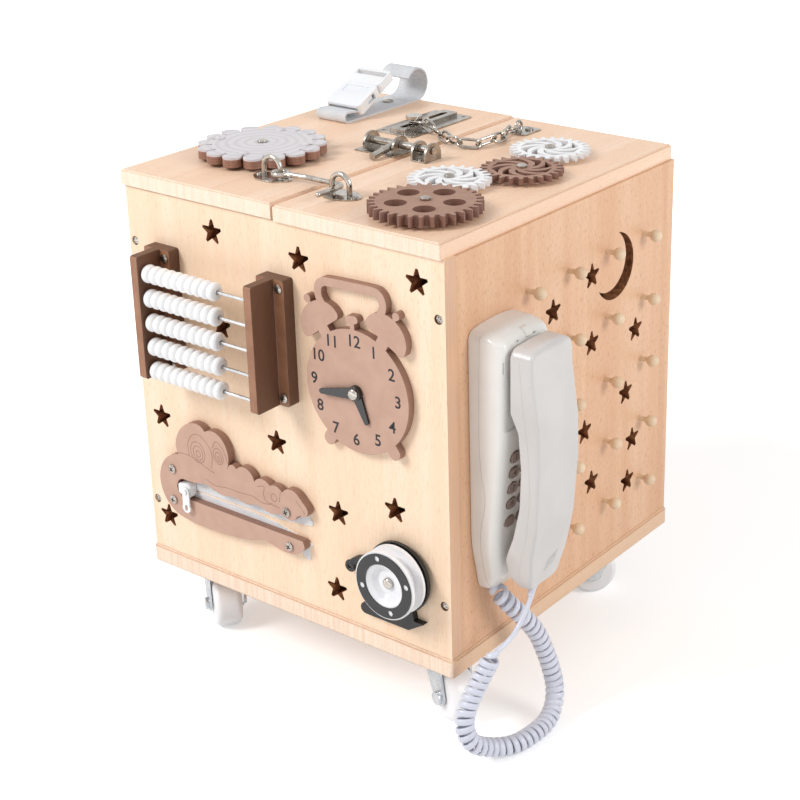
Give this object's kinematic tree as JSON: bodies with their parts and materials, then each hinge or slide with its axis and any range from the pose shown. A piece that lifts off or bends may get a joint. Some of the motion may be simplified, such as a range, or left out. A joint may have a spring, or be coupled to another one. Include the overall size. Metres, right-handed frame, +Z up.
{
  "type": "wooden busy board",
  "caption": "Wooden activity cube on casters with a hinged lid, latches, meshed gears, an abacus, a clock, a zip, a reel, threading pegs and a corded play phone.",
  "frame": {"origin": "on the floor below the middle of the cabinet's four panels", "axes": "+X to the right along the front, +Y from the front to the back, +Z up"},
  "size_m": [0.3635, 0.3308, 0.4168],
  "materials": {
    "pine_board": "satin",
    "plywood": "satin",
    "brown_wood": "satin",
    "mauve_brown_paint": "matte",
    "white_paint": "matte",
    "zinc": "satin",
    "chrome": "polished",
    "white_plastic": "gloss",
    "cream_plastic": "gloss",
    "taupe_plastic": "matte",
    "black_plastic": "gloss",
    "dark_plastic": "matte",
    "cord_plastic": "satin",
    "grey_webbing": "woven",
    "zip_tape": "woven"
  },
  "bodies": {
    "cabinet": {"base_board": "plywood", "front_panel": "pine_board", "back_panel": "pine_board", "left_panel": "pine_board", "right_panel": "pine_board", "fixed_top_leaf": "plywood", "cabinet_screws": "zinc", "threading_pegs": "plywood", "abacus_brackets": "brown_wood", "abacus_rods": "zinc", "clock_face": "mauve_brown_paint", "crocodile_plate": "mauve_brown_paint", "zipper_tapes": "zip_tape", "reel_frame": "dark_plastic", "phone_base": "cream_plastic", "phone_cord": "cord_plastic", "caster_plates": "zinc", "gear_axles": "chrome", "hinge_leaves_fixed": "zinc", "hook_eye_fixed": "zinc", "bolt_keeper": "zinc", "chain_anchor": "zinc"},
    "lid": {"lid_leaf": "plywood", "hinge_leaves_lid": "zinc", "hook_eye_lid": "zinc", "bolt_plate": "zinc", "chain_track": "zinc", "strap_webbing": "grey_webbing", "buckle_socket": "white_plastic", "lid_screws": "zinc", "chain_links": "chrome"},
    "abacus_row_1": {"abacus_beads_row_1": "white_plastic"},
    "abacus_row_2": {"abacus_beads_row_2": "white_plastic"},
    "abacus_row_3": {"abacus_beads_row_3": "white_plastic"},
    "abacus_row_4": {"abacus_beads_row_4": "white_plastic"},
    "abacus_row_5": {"abacus_beads_row_5": "white_plastic"},
    "clock_hour_hand": {"clock_hour_hand": "black_plastic"},
    "clock_minute_hand": {"clock_minute_hand": "black_plastic"},
    "zipper_slider": {"zipper_slider": "white_plastic"},
    "zipper_pull": {"zipper_pull": "white_plastic"},
    "reel_spool": {"reel_spool": "white_plastic"},
    "phone_handset": {"phone_handset": "cream_plastic"},
    "phone_keys": {"phone_keys": "taupe_plastic"},
    "cabin_hook": {"cabin_hook": "zinc"},
    "bolt_rod": {"bolt_rod": "chrome"},
    "chain_knob": {"chain_knob": "chrome"},
    "scalloped_gear": {"scalloped_gear": "brown_wood"},
    "gear_2": {"gear_2": "white_paint"},
    "gear_3": {"gear_3": "mauve_brown_paint"},
    "gear_4": {"gear_4": "white_paint"},
    "buckle_plug": {"buckle_plug": "white_plastic"},
    "gear_1": {"gear_1_large": "mauve_brown_paint"},
    "caster_fork_1": {"caster_fork_1": "zinc"},
    "caster_wheel_1": {"caster_wheel_1": "white_plastic"},
    "caster_fork_2": {"caster_fork_2": "zinc"},
    "caster_wheel_2": {"caster_wheel_2": "white_plastic"},
    "caster_fork_3": {"caster_fork_3": "zinc"},
    "caster_wheel_3": {"caster_wheel_3": "white_plastic"},
    "caster_fork_4": {"caster_fork_4": "zinc"},
    "caster_wheel_4": {"caster_wheel_4": "white_plastic"}
  },
  "joints": [
    {"name": "lid_hinge", "type": "hinge", "parent": "cabinet", "child": "lid", "pos_m": [-0.155, 0, 0.3715], "axis": [0, -1, 0], "range_deg": [0, 40], "deforming": ["chain_links"]},
    {"name": "abacus_row_1_slide", "type": "slide", "parent": "cabinet", "child": "abacus_row_1", "axis": [1, 0, 0], "range_m": [0, 0.032]},
    {"name": "abacus_row_2_slide", "type": "slide", "parent": "cabinet", "child": "abacus_row_2", "axis": [1, 0, 0], "range_m": [0, 0.032]},
    {"name": "abacus_row_3_slide", "type": "slide", "parent": "cabinet", "child": "abacus_row_3", "axis": [1, 0, 0], "range_m": [0, 0.032]},
    {"name": "abacus_row_4_slide", "type": "slide", "parent": "cabinet", "child": "abacus_row_4", "axis": [1, 0, 0], "range_m": [0, 0.032]},
    {"name": "abacus_row_5_slide", "type": "slide", "parent": "cabinet", "child": "abacus_row_5", "axis": [1, 0, 0], "range_m": [0, 0.032]},
    {"name": "clock_hour_hand_turn", "type": "hinge", "parent": "cabinet", "child": "clock_hour_hand", "pos_m": [0.0755, -0.145, 0.262], "axis": [0, -1, 0], "continuous": true},
    {"name": "clock_minute_hand_turn", "type": "hinge", "parent": "cabinet", "child": "clock_minute_hand", "pos_m": [0.0755, -0.145, 0.262], "axis": [0, -1, 0], "continuous": true},
    {"name": "zipper_slide", "type": "slide", "parent": "cabinet", "child": "zipper_slider", "axis": [1, 0, 0], "range_m": [0, 0.112]},
    {"name": "zipper_pull_swing", "type": "hinge", "parent": "zipper_slider", "child": "zipper_pull", "pos_m": [-0.1, -0.145, 0.136], "axis": [0, -1, 0], "range_deg": [-60, 60]},
    {"name": "reel_spin", "type": "hinge", "parent": "cabinet", "child": "reel_spool", "pos_m": [0.1077, -0.145, 0.1276], "axis": [0, -1, 0], "continuous": true},
    {"name": "handset_lift", "type": "slide", "parent": "cabinet", "child": "phone_handset", "axis": [1, 0, 0], "range_m": [0, 0.06], "deforming": ["phone_cord"]},
    {"name": "phone_keys_press", "type": "slide", "parent": "cabinet", "child": "phone_keys", "axis": [-0.9946, 0, 0.1035], "range_m": [0, 0.0012], "stiffness_N_per_m": 400},
    {"name": "caster_1_swivel", "type": "hinge", "parent": "cabinet", "child": "caster_fork_1", "pos_m": [-0.115, -0.11, 0.05], "axis": [0, 0, 1], "continuous": true},
    {"name": "caster_1_roll", "type": "hinge", "parent": "caster_fork_1", "child": "caster_wheel_1", "pos_m": [-0.10517, -0.11688, 0.02], "axis": [0.5736, 0.8192, 0], "continuous": true},
    {"name": "caster_2_swivel", "type": "hinge", "parent": "cabinet", "child": "caster_fork_2", "pos_m": [0.115, -0.11, 0.05], "axis": [0, 0, 1], "continuous": true},
    {"name": "caster_2_roll", "type": "hinge", "parent": "caster_fork_2", "child": "caster_wheel_2", "pos_m": [0.12641, -0.11371, 0.02], "axis": [0.309, 0.9511, 0], "continuous": true},
    {"name": "caster_3_swivel", "type": "hinge", "parent": "cabinet", "child": "caster_fork_3", "pos_m": [0.115, 0.11, 0.05], "axis": [0, 0, 1], "continuous": true},
    {"name": "caster_3_roll", "type": "hinge", "parent": "caster_fork_3", "child": "caster_wheel_3", "pos_m": [0.10651, 0.10151, 0.02], "axis": [0.7071, -0.7071, 0], "continuous": true},
    {"name": "caster_4_swivel", "type": "hinge", "parent": "cabinet", "child": "caster_fork_4", "pos_m": [-0.115, 0.11, 0.05], "axis": [0, 0, 1], "continuous": true},
    {"name": "caster_4_roll", "type": "hinge", "parent": "caster_fork_4", "child": "caster_wheel_4", "pos_m": [-0.12628, 0.1141, 0.02], "axis": [-0.342, -0.9397, 0], "continuous": true},
    {"name": "cabin_hook_turn", "type": "hinge", "parent": "lid", "child": "cabin_hook", "pos_m": [-0.033, -0.101, 0.3892], "axis": [0, 0, 1], "range_deg": [0, 45]},
    {"name": "bolt_slide", "type": "slide", "parent": "lid", "child": "bolt_rod", "axis": [-1, 0, 0], "range_m": [0, 0.017]},
    {"name": "chain_knob_slide", "type": "slide", "parent": "lid", "child": "chain_knob", "axis": [0, 1, 0], "range_m": [-0.013, 0.038]},
    {"name": "scalloped_gear_spin", "type": "hinge", "parent": "lid", "child": "scalloped_gear", "pos_m": [-0.09, -0.059, 0.384], "axis": [0, 0, 1], "continuous": true},
    {"name": "gear_1_spin", "type": "hinge", "parent": "cabinet", "child": "gear_1", "pos_m": [0.101, -0.102, 0.383], "axis": [0, 0, 1], "continuous": true},
    {"name": "gear_2_spin", "type": "hinge", "parent": "cabinet", "child": "gear_2", "pos_m": [0.07464, -0.04138, 0.383], "axis": [0, 0, 1], "continuous": true},
    {"name": "gear_3_spin", "type": "hinge", "parent": "cabinet", "child": "gear_3", "pos_m": [0.10342, 0.00747, 0.383], "axis": [0, 0, 1], "continuous": true},
    {"name": "gear_4_spin", "type": "hinge", "parent": "cabinet", "child": "gear_4", "pos_m": [0.09018, 0.0626, 0.383], "axis": [0, 0, 1], "continuous": true},
    {"name": "buckle_release", "type": "slide", "parent": "lid", "child": "buckle_plug", "axis": [0, 0.8988, 0.4384], "range_m": [0, 0.018]}
  ],
  "couplings": [
    {"joint": "gear_2_spin", "follows": "gear_1_spin", "ratio": -1.3333},
    {"joint": "gear_3_spin", "follows": "gear_1_spin", "ratio": 1.3333},
    {"joint": "gear_4_spin", "follows": "gear_1_spin", "ratio": -1.3333}
  ]
}
